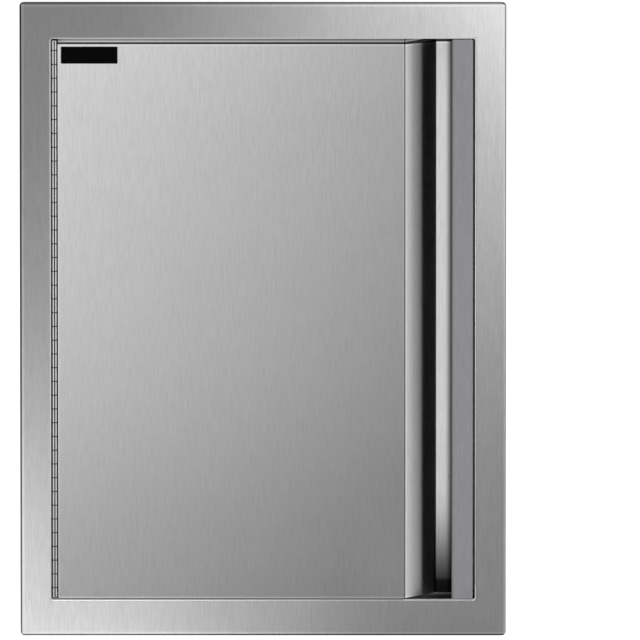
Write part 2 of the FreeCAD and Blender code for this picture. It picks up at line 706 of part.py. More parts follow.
def catch_housing(label, middle):
    """Plastic block on the right rear angle that holds a magnet between two pole plates."""
    body = new_body(label)
    front = f"({ANGLE_FRONT} - @catch_depth)"
    block = new_sketch(body, "XZ_Plane", f"-{ANGLE_FRONT}")
    draw_rounded_box(
        block,
        f"{CATCH_X} - @catch_width / 2",
        f"{middle} - @catch_length / 2",
        f"{CATCH_X} + @catch_width / 2",
        f"{middle} + @catch_length / 2",
        "@bend_radius",
    )
    pad(body, block, "@catch_depth")
    face = worth(front)
    fillet(body, lambda edge: lies_at(edge, y=face), "0.4 * @bend_radius")

    slot = new_sketch(body, "XZ_Plane", f"-{front}")
    half = "(@magnet_width / 2 + @pole_gauge)"
    low, high = f"{middle} - @magnet_length / 2", f"{middle} + @magnet_length / 2"
    draw_box(slot, f"{CATCH_X} - {half}", low, f"{CATCH_X} + {half}", high)
    pocket(body, slot, "@catch_depth - @catch_floor")
    places = catch_screw_places([middle])
    drill(body, "XZ_Plane", f"-{front}", places, "@screw_head + @knuckle_gap / 2", "@screw_seat")
    drill(body, "XZ_Plane", f"-{front}", places, "@screw_radius", "@catch_depth")


def block_between(label, left, right, bottom, top, front, rear):
    """A plain block whose six faces lie at formulas on the sheet."""
    block = document.addObject("Part::Box", label)
    block.Label = label
    block.setExpression("Length", bound(f"({right}) - ({left})"))
    block.setExpression("Width", bound(f"({rear}) - ({front})"))
    block.setExpression("Height", bound(f"({top}) - ({bottom})"))
    block.setExpression("Placement.Base.x", bound(left))
    block.setExpression("Placement.Base.y", bound(front))
    block.setExpression("Placement.Base.z", bound(bottom))
    return block


def catch_magnet(label, middle):
    """The magnet, set a little back between its pole plates."""
    block = block_between(
        label,
        f"{CATCH_X} - @magnet_width / 2",
        f"{CATCH_X} + @magnet_width / 2",
        f"{middle} - @magnet_length / 2",
        f"{middle} + @magnet_length / 2",
        f"{ANGLE_FRONT} - @catch_depth + @magnet_setback",
        f"{ANGLE_FRONT} - @catch_floor",
    )
    written.append(block)


def catch_poles(label, middle):
    """Two steel plates that carry the magnet's pull to the strike plate."""
    near, far = "@magnet_width / 2", "(@magnet_width / 2 + @pole_gauge)"
    edges = {
        "left": (f"{CATCH_X} - {far}", f"{CATCH_X} - {near}"),
        "right": (f"{CATCH_X} + {near}", f"{CATCH_X} + {far}"),
    }
    plates = []
    for hand, (first, last) in edges.items():
        plate = block_between(
            f"{label}_{hand}",
            first,
            last,
            f"{middle} - @magnet_length / 2",
            f"{middle} + @magnet_length / 2",
            f"{ANGLE_FRONT} - @catch_depth - @pole_reach",
            f"{ANGLE_FRONT} - @catch_floor",
        )
        plates.append(plate)
    pair = document.addObject("Part::Compound", label)
    pair.Label = label
    pair.Links = plates
    written.append(pair)


def catch_screws():
    """Pan head screws that hold the catch housings to the right rear angle."""
    seat = worth(f"{ANGLE_FRONT} - @catch_depth + @screw_seat")
    reach = worth("@sleeve_depth + @screw_seat") - seat
    rise = 0.8 * worth("@screw_seat")
    head = Part.makeCylinder(worth("@screw_head"), rise)
    head = head.makeFillet(0.4 * rise, [edge for edge in head.Edges if lies_at(edge, z=rise)])
    shank = Part.makeCylinder(worth("@screw_radius"), reach + 0.2, FreeCAD.Vector(0, 0, -reach))
    bar = Part.makeBox(3.2, 0.7, rise, FreeCAD.Vector(-1.6, -0.35, 0.6 * rise))
    crossbar = bar.copy()
    crossbar.rotate(FreeCAD.Vector(0, 0, 0), FreeCAD.Vector(0, 0, 1), 90)
    screw = head.fuse(shank).removeSplitter().cut(bar.fuse(crossbar))
    places = [(worth(x), seat, worth(z)) for x, z in catch_screw_places(both(CATCH_Z))]
    set_out("catch_screws", [placed(screw, place, (0, -1, 0)) for place in places])


def badge_plate():
    """Plain small plate at the top of the hinge side."""
    body = new_body("badge_plate")
    plate = new_sketch(body, "XZ_Plane", "@door_face")
    draw_rounded_box(
        plate,
        f"{DOOR_LEFT} + @badge_inset",
        f"{DOOR_TOP} - @badge_drop - @badge_height",
        f"{DOOR_LEFT} + @badge_inset + @badge_width",
        f"{DOOR_TOP} - @badge_drop",
        "@badge_gauge",
    )
    pad(body, plate, "@badge_gauge")


def build():
    fill_sheet()
    face_frame()
    rear_angle("rear_angle_left", "-")
    rear_angle("rear_angle_right", "")
    rear_stop("rear_stop_bottom", "-")
    rear_stop("rear_stop_top", "")
    hinge_frame_leaf()
    hinge_rivets("hinge_frame_rivets", f"-{HALF_WIDTH}", 1, "0")
    hinge_pin()
    door_skin()
    door_liner()
    grip_stile()
    hinge_door_leaf()
    hinge_rivets("hinge_door_rivets", DOOR_LEFT, -1, "@knuckle_pitch")
    back_rivets("liner_rivets", liner_rivet_places(), DOOR_REAR, 2)
    back_rivets("stile_rivets", stile_rivet_places(), DOOR_REAR, 2)
    back_rivets("strike_plate_rivets", strike_rivet_places(both(CATCH_Z)), f"{DOOR_REAR} + @gauge", 3)
    for name, middle in zip(("lower", "upper"), both(CATCH_Z)):
        strike_plate(f"{name}_strike_plate", middle)
        catch_housing(f"{name}_catch_housing", middle)
        catch_magnet(f"{name}_catch_magnet", middle)
        catch_poles(f"{name}_catch_poles", middle)
    catch_screws()
    badge_plate()
    document.recompute()


def check():
    """Stop before anything is written if an object failed or a shape is bad."""
    for item in document.Objects:
        if "Invalid" in item.State or "Error" in item.State:
            raise RuntimeError(f"{item.Label} did not compute: {item.State}")
    for item in written:
        if item.Shape.isNull() or not item.Shape.isValid() or not item.Shape.Solids:
            raise RuntimeError(f"{item.Label} has no sound shape")


def export():
    os.makedirs("parts", exist_ok=True)
    for item in written:
        item.Shape.exportStep(os.path.join("parts", item.Label + ".step"))


build()
check()
export()
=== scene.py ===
"""Access door for an outdoor kitchen island, dressed in brushed stainless steel.

The folded frame, the door on its continuous hinge and the hardware behind it come from the construction
model. This file gives each of them its fine edges and its finish, closes the frame's corners with four
small plugs, and adds the floor, the light and the camera. Lengths are in metres: x runs to the right, y
into the island and z up, with the origin on the back of the frame's flange.
"""

import logging
import math
from dataclasses import dataclass, field
from enum import Enum
from typing import Any

import bpy
import numpy as np
from bpy.types import Material, Node, NodeTree, Object, NodeSocket as Socket
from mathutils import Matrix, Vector


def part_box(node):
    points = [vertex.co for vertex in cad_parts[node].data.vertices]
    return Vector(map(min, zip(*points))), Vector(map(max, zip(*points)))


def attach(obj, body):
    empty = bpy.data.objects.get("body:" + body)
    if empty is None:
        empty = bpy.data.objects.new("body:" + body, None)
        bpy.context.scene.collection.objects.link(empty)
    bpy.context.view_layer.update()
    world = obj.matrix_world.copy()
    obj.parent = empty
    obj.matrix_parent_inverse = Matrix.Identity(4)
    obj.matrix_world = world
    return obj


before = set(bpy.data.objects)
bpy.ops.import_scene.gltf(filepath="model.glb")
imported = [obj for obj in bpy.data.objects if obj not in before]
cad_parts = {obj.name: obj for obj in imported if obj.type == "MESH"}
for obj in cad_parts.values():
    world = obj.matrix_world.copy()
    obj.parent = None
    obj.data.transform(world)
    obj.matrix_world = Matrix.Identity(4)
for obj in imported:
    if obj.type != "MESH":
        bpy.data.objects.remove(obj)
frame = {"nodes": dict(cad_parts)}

log = logging.getLogger("access_door")

# A ramp's numbers are its start and end, and then its results there. A band's are its middle, half width
# and factor.
Pair = tuple[float, float]
Triple = tuple[float, float, float]
Quad = tuple[float, float, float, float]

MILLIMETRES = 1000.0


class Edge(Enum):
    """How an edge is finished, as the width of its rounding in metres; a turned piece brings its own."""

    TURNED = 0.0
    DEBURRED = 0.00008
    EASED = 0.00018
    MOULDED = 0.0004


class Graph:
    """A node tree that is filled by adding nodes and joining their sockets."""

    band_core: float = 0.3

    def __init__(self, tree: NodeTree) -> None:
        """Starts from an empty tree.

        Args:
            tree: The tree of a material, a world or a node group.
        """
        self.tree = tree
        tree.nodes.clear()

    def add(self, kind: str, settings: dict[str, Any] | None = None, **inputs: Any) -> Node:
        """Adds a node.

        Args:
            kind: The node's type name.
            settings: Values of the node's own properties.
            inputs: Socket names, with underscores for spaces, and a value or an output socket for each.

        Returns:
            The new node.
        """
        node = self.tree.nodes.new(kind)
        for name, value in (settings or {}).items():
            setattr(node, name, value)
        for name, value in inputs.items():
            self.set(node.inputs[name.replace("_", " ")], value)
        return node

    def set(self, socket: Socket, value: Any) -> None:
        """Gives an input socket a value, or joins it to an output socket."""
        if isinstance(value, Socket):
            self.tree.links.new(value, socket)
        else:
            socket.default_value = value

    def _operate(self, kind: str, operation: str, values: tuple[Any, ...]) -> Socket:
        """Adds a node that does one operation.

        Args:
            kind: The node's type name.
            operation: The operation's name.
            values: Values or output sockets for the inputs, in order.

        Returns:
            The node's first output.
        """
        node = self.add(kind, {"operation": operation})
        for socket, value in zip(node.inputs, values):
            self.set(socket, value)
        return node.outputs[0]

    def math(self, operation: str, *values: Any) -> Socket:
        """Works out one number from numbers or output sockets."""
        return self._operate("ShaderNodeMath", operation, values)

    def vector(self, operation: str, *values: Any) -> Socket:
        """Works out one vector from vectors or output sockets."""
        return self._operate("ShaderNodeVectorMath", operation, values)

    def scaled(self, vector: Any, factor: Any) -> Socket:
        """A vector times a number."""
        node = self.add("ShaderNodeVectorMath", {"operation": "SCALE"}, Vector=vector, Scale=factor)
        return node.outputs[0]

    def split(self, vector: Any) -> tuple[Socket, ...]:
        """The three parts of a vector."""
        return tuple(self.add("ShaderNodeSeparateXYZ", Vector=vector).outputs)

    def chain(self, operation: str, first: Any, *others: Any) -> Any:
        """Takes an operation of two numbers along a row, such as the product or the highest of all.

        Args:
            operation: The operation's name.
            first: The number or output socket to start from.
            others: The numbers or output sockets that follow.

        Returns:
            The result's socket, or the first value where nothing follows.
        """
        for other in others:
            first = self.math(operation, first, other)
        return first

    def off(self, mask: Any) -> Socket:
        """The mask of all that another mask leaves out."""
        return self.math("SUBTRACT", 1.0, mask)

    def only(self, mask: Any, factor: Any) -> Socket:
        """A factor where the mask is one, and one where the mask is zero: 1 + mask (factor - 1)."""
        return self.math("MULTIPLY_ADD", mask, self.math("SUBTRACT", factor, 1.0), 1.0)

    def ramp(self, value: Any, start: float, end: float, low: float = 0.0,
             high: float = 1.0) -> Socket:
        """A smooth step of a value.

        Args:
            value: The value or output socket that is stepped.
            start: The value where the step begins.
            end: The value where the step ends.
            low: The result up to the start.
            high: The result from the end on.

        Returns:
            The socket that holds the result.
        """
        node = self.add("ShaderNodeMapRange", {"interpolation_type": "SMOOTHSTEP"}, Value=value,
                        From_Min=start, From_Max=end, To_Min=low, To_Max=high)
        return node.outputs["Result"]

    def band(self, value: Any, middle: float, half: float, inside: float) -> Socket:
        """A factor that is one far from a place and another number at it.

        Args:
            value: The value or output socket that runs across the band.
            middle: The value at the band's middle.
            half: The distance from there at which the factor is one again.
            inside: The factor in the band's core.

        Returns:
            The socket that holds the factor.
        """
        away = self.math("ABSOLUTE", self.math("SUBTRACT", value, middle))
        return self.ramp(away, half * self.band_core, half, inside, 1.0)

    def blend(self, mask: Any, first: Any, second: Any) -> Socket:
        """Goes from one vector to another.

        Args:
            mask: From 0 for the first vector to 1 for the second.
            first: A vector or output socket.
            second: A vector or output socket.

        Returns:
            The socket that holds the vector.
        """
        node = self.add("ShaderNodeMix", {"data_type": "VECTOR"})
        for index, value in ((0, mask), (4, first), (5, second)):
            self.set(node.inputs[index], value)
        return node.outputs[1]

    def noise(self, vector: Any, detail: float, roughness: float = 0.5) -> Socket:
        """Soft random values about one half, over a vector that already has its scale."""
        node = self.add("ShaderNodeTexNoise", Vector=vector, Scale=1.0, Detail=detail,
                        Roughness=roughness)
        return node.outputs["Fac"]


class EffectLibrary:
    """The node groups that more than one finish uses, each built once."""

    texture: tuple[str, ...] = ("Tone", "Rough", "Height")
    level_from: float = 0.75
    fine_streak: Triple = (3.1, 3.1, 1.7)
    fine_share: float = 0.4

    def __init__(self) -> None:
        """Builds every group."""
        self.grain = self._brushed_grain()
        self.cloud = self._speckle("Handling cloud", scale=9.0, shade=0.03, spread=0.03, detail=3.0)
        self.bow_and_painted_sheen = self._sheet_bow_and_painted_sheen()
        self.pebble = self._speckle("Moulded pebble", scale=1400.0, shade=0.1, spread=0.06, detail=2.0)

    @staticmethod
    def _group(name: str, inputs: dict[str, float | None],
               outputs: tuple[str, ...]) -> tuple[Graph, Node, Node]:
        """Makes an empty group with its sockets.

        Args:
            name: The group's name.
            inputs: Socket names, each with its starting value, or None for a vector.
            outputs: Names of the sockets that put out a number.

        Returns:
            The graph, the group's input node and its output node.
        """
        tree = bpy.data.node_groups.new(name, "ShaderNodeTree")
        for label, value in inputs.items():
            kind = "NodeSocketVector" if value is None else "NodeSocketFloat"
            socket = tree.interface.new_socket(label, in_out="INPUT", socket_type=kind)
            if value is not None:
                socket.default_value = value
        for label in outputs:
            tree.interface.new_socket(label, in_out="OUTPUT", socket_type="NodeSocketFloat")
        graph = Graph(tree)
        return graph, graph.add("NodeGroupInput"), graph.add("NodeGroupOutput")

    @staticmethod
    def _vary(graph: Graph, given: Node, result: Node, chance: Socket) -> None:
        """Puts out the height c, the tone 1 + s (2 c - 1) and the roughness offset r (2 c - 1).

        Args:
            graph: The group's graph.
            given: The group's input node, with the Shade s and the Spread r.
            result: The group's output node.
            chance: The random values c about one half.
        """
        signed = graph.math("MULTIPLY_ADD", chance, 2.0, -1.0)
        graph.set(result.inputs["Tone"], graph.math("MULTIPLY_ADD", signed, given.outputs["Shade"], 1.0))
        graph.set(result.inputs["Rough"], graph.math("MULTIPLY", signed, given.outputs["Spread"]))
        graph.set(result.inputs["Height"], chance)

    def _brushed_grain(self) -> NodeTree:
        """Streaks of a belt brush: noise stretched along z, or along y where the sheet lies level.

        Returns:
            A group that puts out Tone, about one, Rough, about zero, and Height, from 0 to 1.
        """
        graph, given, result = self._group(
            "Brushed grain",
            {"Vector": None, "Across": 900.0, "Along": 28.0, "Shade": 0.05, "Spread": 0.04}, self.texture)
        upwards = graph.split(graph.add("ShaderNodeNewGeometry").outputs["Normal"])[2]
        level = graph.math("GREATER_THAN", graph.math("ABSOLUTE", upwards), self.level_from)
        across, along = given.outputs["Across"], given.outputs["Along"]
        upright_scale = graph.add("ShaderNodeCombineXYZ", X=across, Y=across, Z=along).outputs[0]
        level_scale = graph.add("ShaderNodeCombineXYZ", X=across, Y=along, Z=across).outputs[0]
        scale = graph.blend(level, upright_scale, level_scale)
        stretched = graph.vector("MULTIPLY", given.outputs["Vector"], scale)
        broad = graph.noise(stretched, detail=2.0, roughness=0.6)
        fine = graph.noise(graph.vector("MULTIPLY", stretched, self.fine_streak), detail=1.0)
        streaks = graph.math("ADD", graph.math("MULTIPLY", broad, 1.0 - self.fine_share),
                             graph.math("MULTIPLY", fine, self.fine_share))
        self._vary(graph, given, result, streaks)
        return graph.tree

    def _sheet_bow_and_painted_sheen(self) -> NodeTree:
        """Painted sheen and a real tilt over a folded sheet, with u = x / half width and w = z / half
        height.

        The tone, 1 + Sideways u + Upward w + Twist u w + Curl (u w)^2, is painted sheen. The height is -z
        w / 2 times the lift, Lift upward + Lift twist u, which is the slope up the sheet in radians where
        w is one.

        Returns:
            A group that puts out Tone, the painted sheen about one, and Height in metres.
        """
        still = dict.fromkeys(("Sideways", "Upward", "Twist", "Curl", "Lift upward", "Lift twist"), 0.0)
        graph, given, result = self._group(
            "Sheet bow", {"Vector": None, "Half width": 0.2, "Half height": 0.3, **still},
            ("Tone", "Height"))
        x, _, z = graph.split(given.outputs["Vector"])
        u = graph.math("DIVIDE", x, given.outputs["Half width"])
        w = graph.math("DIVIDE", z, given.outputs["Half height"])
        corner = graph.math("MULTIPLY", u, w)
        curled = graph.math("MULTIPLY_ADD", corner, given.outputs["Curl"], given.outputs["Twist"])
        tone = graph.chain("ADD", graph.math("MULTIPLY", u, given.outputs["Sideways"]),
                           graph.math("MULTIPLY", w, given.outputs["Upward"]),
                           graph.math("MULTIPLY_ADD", corner, curled, 1.0))
        lift = graph.math("MULTIPLY_ADD", u, given.outputs["Lift twist"], given.outputs["Lift upward"])
        graph.set(result.inputs["Tone"], tone)
        graph.set(result.inputs["Height"], graph.chain("MULTIPLY", z, w, lift, -0.5))
        return graph.tree

    def _speckle(self, name: str, scale: float, shade: float, spread: float, detail: float) -> NodeTree:
        """Soft random cells: patches left by handling, or the fine skin of a moulded or painted surface.

        Args:
            name: The group's name.
            scale: The cells' starting scale.
            shade: The tone's starting range.
            spread: The roughness's starting range.
            detail: The detail of the cells.

        Returns:
            A group that puts out Tone, about one, Rough, about zero, and Height, from 0 to 1.
        """
        graph, given, result = self._group(
            name, {"Vector": None, "Scale": scale, "Shade": shade, "Spread": spread}, self.texture)
        cells = graph.noise(graph.scaled(given.outputs["Vector"], given.outputs["Scale"]), detail)
        self._vary(graph, given, result, cells)
        return graph.tree


@dataclass
class Zone:
    """What a sheet's zones add: painted light and shade on colour, offsets on roughness, heights, two
    masks.

    Where frontal is one, the shading looks straight to the front, as on an edge that is eased flat. Where
    upright is one, the sheet gets no painted sheen and spreads a reflection up and down instead of
    sideways.
    """

    tones: list[Any] = field(default_factory=list)
    offsets: list[Any] = field(default_factory=list)
    heights: list[Any] = field(default_factory=list)
    frontal: Any = None
    upright: Any = None


@dataclass(frozen=True)
class Finish:
    """A finish with one colour, one gloss and one kind of texture."""

    name: str
    colour: Triple
    roughness: float

    def _start(self) -> tuple[Material, Graph, Node, Socket]:
        """Makes a material with its shader joined to the output.

        Returns:
            The material, its graph, its shader and the socket of object coordinates.
        """
        material = bpy.data.materials.new(self.name)
        material.use_nodes = True
        graph = Graph(material.node_tree)
        shader = graph.add("ShaderNodeBsdfPrincipled")
        graph.add("ShaderNodeOutputMaterial", Surface=shader.outputs[0])
        place = graph.add("ShaderNodeTexCoord").outputs["Object"]
        return material, graph, shader, place

    def _paint(self, graph: Graph, shader: Node, tones: list[Any], offsets: list[Any]) -> None:
        """Joins the colour and the roughness to the shader.

        Args:
            graph: The material's graph.
            shader: The shader to paint.
            tones: Factors on the colour.
            offsets: Offsets on the roughness.
        """
        graph.set(shader.inputs["Base Color"], graph.scaled(self.colour, graph.chain("MULTIPLY", *tones)))
        graph.set(shader.inputs["Roughness"], graph.chain("ADD", self.roughness, *offsets))


@dataclass(frozen=True)
class BrushedSteel(Finish):
    """Stainless sheet with an upright brush grain, which spreads a reflection to the sides."""

    anisotropy: float = 0.6
    level_drift: Triple = (0.002, 0.0, 0.0)
    streak: float = 0.25
    spread: float = 0.14
    relief: float = 0.00001
    across: float = 950.0
    along: float = 56.0
    half: Pair = (0.221, 0.292)
    bow_and_painted_sheen: Quad = (0.0, 0.0, 0.0, 0.0)
    lift: Pair = (0.0, 0.0)

    def zones(self, graph: Graph, place: Socket) -> Zone:
        """What differs over the sheet apart from grain and painted sheen, mostly painted light and shade;
        a plain sheet has nothing.
        """
        return Zone()

    def build(self, effects: EffectLibrary) -> Material:
        """Makes the material. The small drift keeps the brush direction from vanishing on a level face.

        Args:
            effects: The shared node groups.

        Returns:
            The material.
        """
        material, graph, shader, place = self._start()
        half_width, half_height = self.half
        sideways, upward, twist, curl = self.bow_and_painted_sheen
        lift_upward, lift_twist = self.lift
        grain = graph.add("ShaderNodeGroup", {"node_tree": effects.grain}, Vector=place,
                          Across=self.across, Along=self.along, Shade=self.streak, Spread=self.spread)
        cloud = graph.add("ShaderNodeGroup", {"node_tree": effects.cloud}, Vector=place)
        bow_and_painted_sheen = graph.add("ShaderNodeGroup", {"node_tree": effects.bow_and_painted_sheen}, Vector=place,
                        Half_width=half_width, Half_height=half_height, Sideways=sideways, Upward=upward,
                        Twist=twist, Curl=curl, Lift_upward=lift_upward, Lift_twist=lift_twist)
        zone = self.zones(graph, place)
        # This tone is painted sheen: slow lighter and darker stretches that stand in for reflections.
        painted_sheen = bow_and_painted_sheen.outputs["Tone"]
        normal = graph.add("ShaderNodeNewGeometry").outputs["Normal"]
        along = graph.vector("CROSS_PRODUCT", normal, (0.0, 0.0, 1.0))
        along = graph.vector("ADD", along, self.level_drift)
        if zone.upright is not None:
            painted_sheen = graph.only(graph.off(zone.upright), painted_sheen)
            along = graph.blend(zone.upright, along, (0.0, 0.0, 1.0))
        self._paint(graph, shader, [grain.outputs["Tone"], cloud.outputs["Tone"], painted_sheen, *zone.tones],
                    [grain.outputs["Rough"], cloud.outputs["Rough"], *zone.offsets])
        shader.inputs["Metallic"].default_value = 1.0
        shader.inputs["Anisotropic"].default_value = self.anisotropy
        graph.set(shader.inputs["Tangent"], graph.vector("NORMALIZE", along))
        height = graph.math("MULTIPLY_ADD", grain.outputs["Height"], self.relief, bow_and_painted_sheen.outputs["Height"])
        height = graph.chain("ADD", height, *zone.heights)
        shaded = graph.add("ShaderNodeBump", Strength=1.0, Distance=1.0, Height=height).outputs[0]
        if zone.frontal is not None:
            turn = {"vector_type": "NORMAL", "convert_from": "OBJECT", "convert_to": "WORLD"}
            front = graph.add("ShaderNodeVectorTransform", turn, Vector=(0.0, -1.0, 0.0)).outputs[0]
            shaded = graph.vector("NORMALIZE", graph.blend(zone.frontal, shaded, front))
        graph.set(shader.inputs["Normal"], shaded)
        return material


@dataclass(frozen=True)
class FrameSteel(BrushedSteel):
    """The frame's sheet: a brushed flange with painted highlight and shade on its bends, and painted shade
    on the walls behind the lip.

    Places across the flange are distances from the opening's edge, outwards. The ring is the bend between
    lip and flange, as seen in section, and the sill is the front of the lower wall.
    """

    opening: Pair = (0.1929, 0.2587)
    inside: Pair = (0.0003, 0.0007)
    flange: Pair = (0.0009, 0.00098)
    wall: Pair = (-0.0030, 0.003)
    wall_painted_shade: float = 0.40
    end_wall_painted_shade: float = 0.95
    end_walls: Pair = (0.245, 0.256)
    bend: Pair = (-0.0045, -0.0030)
    bend_blur: Pair = (0.0001, 0.0004)
    lip_painted_highlight: float = 2.25
    lip_lean: Pair = (-0.30, 0.38)
    lip_right: float = 0.9
    lip_channel: float = 0.8
    lip_below: float = 0.0006
    lip_up: float = 0.0030
    right_fade: float = 0.004
    ring_centre: Pair = (0.002, -0.003)
    ring: Pair = (0.0015, 0.0017)
    ring_end: Pair = (0.0019, 0.0020)
    ring_side: Pair = (0.0014, 0.0016)
    ring_right_painted_shade: float = 0.74
    channel: Pair = (0.1268, 0.1288)
    sill: Pair = (0.0040, 0.0050)
    sill_painted_shade: Pair = (0.42, 0.85)
    painted_glow_below: Triple = (-0.048, 0.170, 1.20)
    painted_glow_above: Triple = (0.0155, 0.150, 1.11)
    border_painted_shade: Quad = (0.0015, 0.0019, 0.24, 1.25)
    border_painted_highlight: Quad = (0.0033, 0.0041, 1.0, 0.80)
    border_right: float = 0.0020
    right_painted_highlight: Triple = (0.21965, 0.0008, 1.40)

    def zones(self, graph: Graph, place: Socket) -> Zone:
        """The lip gets a painted highlight, the outer bend painted shade by a highlight line, the walls
        painted shade.

        Args:
            graph: The material's graph.
            place: The socket of object coordinates.

        Returns:
            The zone's tones and its frontal mask.
        """
        x, y, z = graph.split(place)
        level = graph.math("ABSOLUTE", z)
        aside = graph.math("SUBTRACT", graph.math("ABSOLUTE", x), self.opening[0])
        outwards = graph.math("MAXIMUM", aside, graph.math("SUBTRACT", level, self.opening[1]))
        inner = graph.ramp(outwards, *self.inside, 1.0, 0.0)
        on_flange = graph.ramp(outwards, *self.flange)
        on_right = graph.ramp(x, self.opening[0] - self.right_fade, self.opening[0])
        below = graph.math("LESS_THAN", z, -self.end_walls[0])
        at_channel = graph.ramp(x, *self.channel)
        # Painted shade on the walls behind the lip: the side walls darkest, the top and bottom walls a
        # little.
        deep = graph.math("MULTIPLY", graph.ramp(y, *self.wall), inner)
        wall = graph.only(deep, graph.ramp(level, *self.end_walls, self.wall_painted_shade, self.end_wall_painted_shade))

        # Painted highlight on the lip's bend: brighter to the left and upwards, on the right towards the
        # bottom, and below the channel.
        start, end = self.bend
        fade_in, fade_out = self.bend_blur
        lowered = graph.math("MULTIPLY_ADD", at_channel, -self.lip_up, self.lip_below)
        into = graph.math("MULTIPLY_ADD", below, lowered, y)
        past_lip = graph.ramp(into, end - fade_out, end)
        on_lip = graph.chain("MULTIPLY", graph.ramp(y, start - fade_in, start), graph.off(past_lip),
                             graph.off(on_flange))
        leans = [graph.math("MULTIPLY", here, lean * self.lip_painted_highlight / half)
                 for here, lean, half in zip((x, z), self.lip_lean, self.half)]
        low_right = graph.ramp(z, -self.half[1], self.half[1], self.lip_right, 0.0)
        painted_shine = graph.chain("ADD", self.lip_painted_highlight, *leans, graph.math("MULTIPLY", on_right, low_right),
                            graph.chain("MULTIPLY", below, at_channel, self.lip_channel))

        ring = self._ring(graph, y, outwards, on_flange)
        # Painted shade on the ring's outer part beside the right lip.
        ring_beside = graph.chain("MULTIPLY", ring, on_right,
                                  graph.ramp(outwards, *self.ring_side, 1.0, 0.0))
        # Painted shade on the front of the lower wall, in the gap under the door, darkest at the left.
        sill = graph.chain("MULTIPLY", below, inner, past_lip, graph.ramp(y, *self.sill, 1.0, 0.0),
                           graph.off(at_channel))
        painted_sill_shade = graph.ramp(x, -self.opening[0], self.channel[0], *self.sill_painted_shade)
        return Zone(
            tones=[wall, graph.only(on_lip, painted_shine), self._outline(graph, x, y, level),
                   graph.only(ring_beside, self.ring_right_painted_shade), graph.only(sill, painted_sill_shade),
                   self._painted_glow(graph, x, z, on_flange)],
            frontal=graph.chain("MAXIMUM", on_lip, ring, sill))

    def _ring(self, graph: Graph, y: Socket, outwards: Socket, on_flange: Socket) -> Socket:
        """Finds the sheet's front face in the bend between lip and flange.

        Args:
            graph: The material's graph.
            y: The depth.
            outwards: The distance from the opening's edge.
            on_flange: The mask of all beyond the lip.

        Returns:
            The mask of the bend's front face.
        """
        squares = [graph.math("POWER", graph.math("SUBTRACT", here, middle), 2.0)
                   for here, middle in zip((outwards, y), self.ring_centre)]
        front = graph.ramp(graph.math("ADD", *squares), self.ring[0] ** 2, self.ring[1] ** 2)
        return graph.chain("MULTIPLY", front, on_flange, graph.ramp(outwards, *self.ring_end, 1.0, 0.0))

    def _outline(self, graph: Graph, x: Socket, y: Socket, level: Socket) -> Socket:
        """Paints shade on the flange's outer bend and a highlight line beside it, with one more highlight
        line near the right edge.

        Args:
            graph: The material's graph.
            x: The place across.
            y: The depth.
            level: The distance above or below the middle.

        Returns:
            The factor on the colour.
        """
        right = graph.math("SUBTRACT", self.half[0] + self.border_right, x)
        rim = graph.chain("MINIMUM", graph.math("ADD", x, self.half[0]), right,
                          graph.math("SUBTRACT", self.half[1], level))
        border = graph.chain("MULTIPLY", graph.ramp(rim, *self.border_painted_shade),
                             graph.ramp(rim, *self.border_painted_highlight), graph.band(x, *self.right_painted_highlight))
        back = self.bend[1]
        return graph.only(graph.ramp(y, back, back + self.bend_blur[1], 1.0, 0.0), border)

    def _painted_glow(self, graph: Graph, x: Socket, z: Socket, on_flange: Socket) -> Socket:
        """Paints a slow sheen on the flange, brighter towards one place below the opening and one above
        it.

        Args:
            graph: The material's graph.
            x: The place across.
            z: The height.
            on_flange: The mask of all beyond the lip.

        Returns:
            The factor on the colour.
        """
        reach, edge = self.end_walls[0], self.opening[1]
        low = graph.only(graph.ramp(z, -edge, -reach, 1.0, 0.0), graph.band(x, *self.painted_glow_below))
        high = graph.only(graph.ramp(z, reach, edge), graph.band(x, *self.painted_glow_above))
        return graph.only(on_flange, graph.math("MULTIPLY", low, high))


@dataclass(frozen=True)
class StileSteel(BrushedSteel):
    """The grip stile's sheet: brushed in front, with painted shade inside the fold where fingers hook."""

    lip: Pair = (-0.0030, -0.0005)
    back: Pair = (0.0272, 0.0276)
    outer: Pair = (0.1902, 0.1906)
    inside_painted_shade: float = 0.16
    inner_edge_painted_shade: Triple = (0.1712, 0.1745, 0.68)
    bend: Triple = (0.188, -0.0033, -0.0029)

    def zones(self, graph: Graph, place: Socket) -> Zone:
        """The fold gets painted shade inside and along its inner edge, and the bend beside the frame looks
        to the front.

        Args:
            graph: The material's graph.
            place: The socket of object coordinates.

        Returns:
            The zone's tones and its frontal mask.
        """
        x, y, _ = graph.split(place)
        inside = graph.chain("MULTIPLY", graph.ramp(y, *self.lip), graph.ramp(y, *self.back, 1.0, 0.0),
                             graph.ramp(x, *self.outer, 1.0, 0.0))
        side, start, end = self.bend
        beside = graph.math("GREATER_THAN", x, side)
        on_bend = graph.math("MULTIPLY", beside, graph.ramp(y, start, end, 1.0, 0.0))
        edge = graph.ramp(x, *self.inner_edge_painted_shade, 1.0)
        return Zone(tones=[graph.only(inside, self.inside_painted_shade), edge], frontal=on_bend)


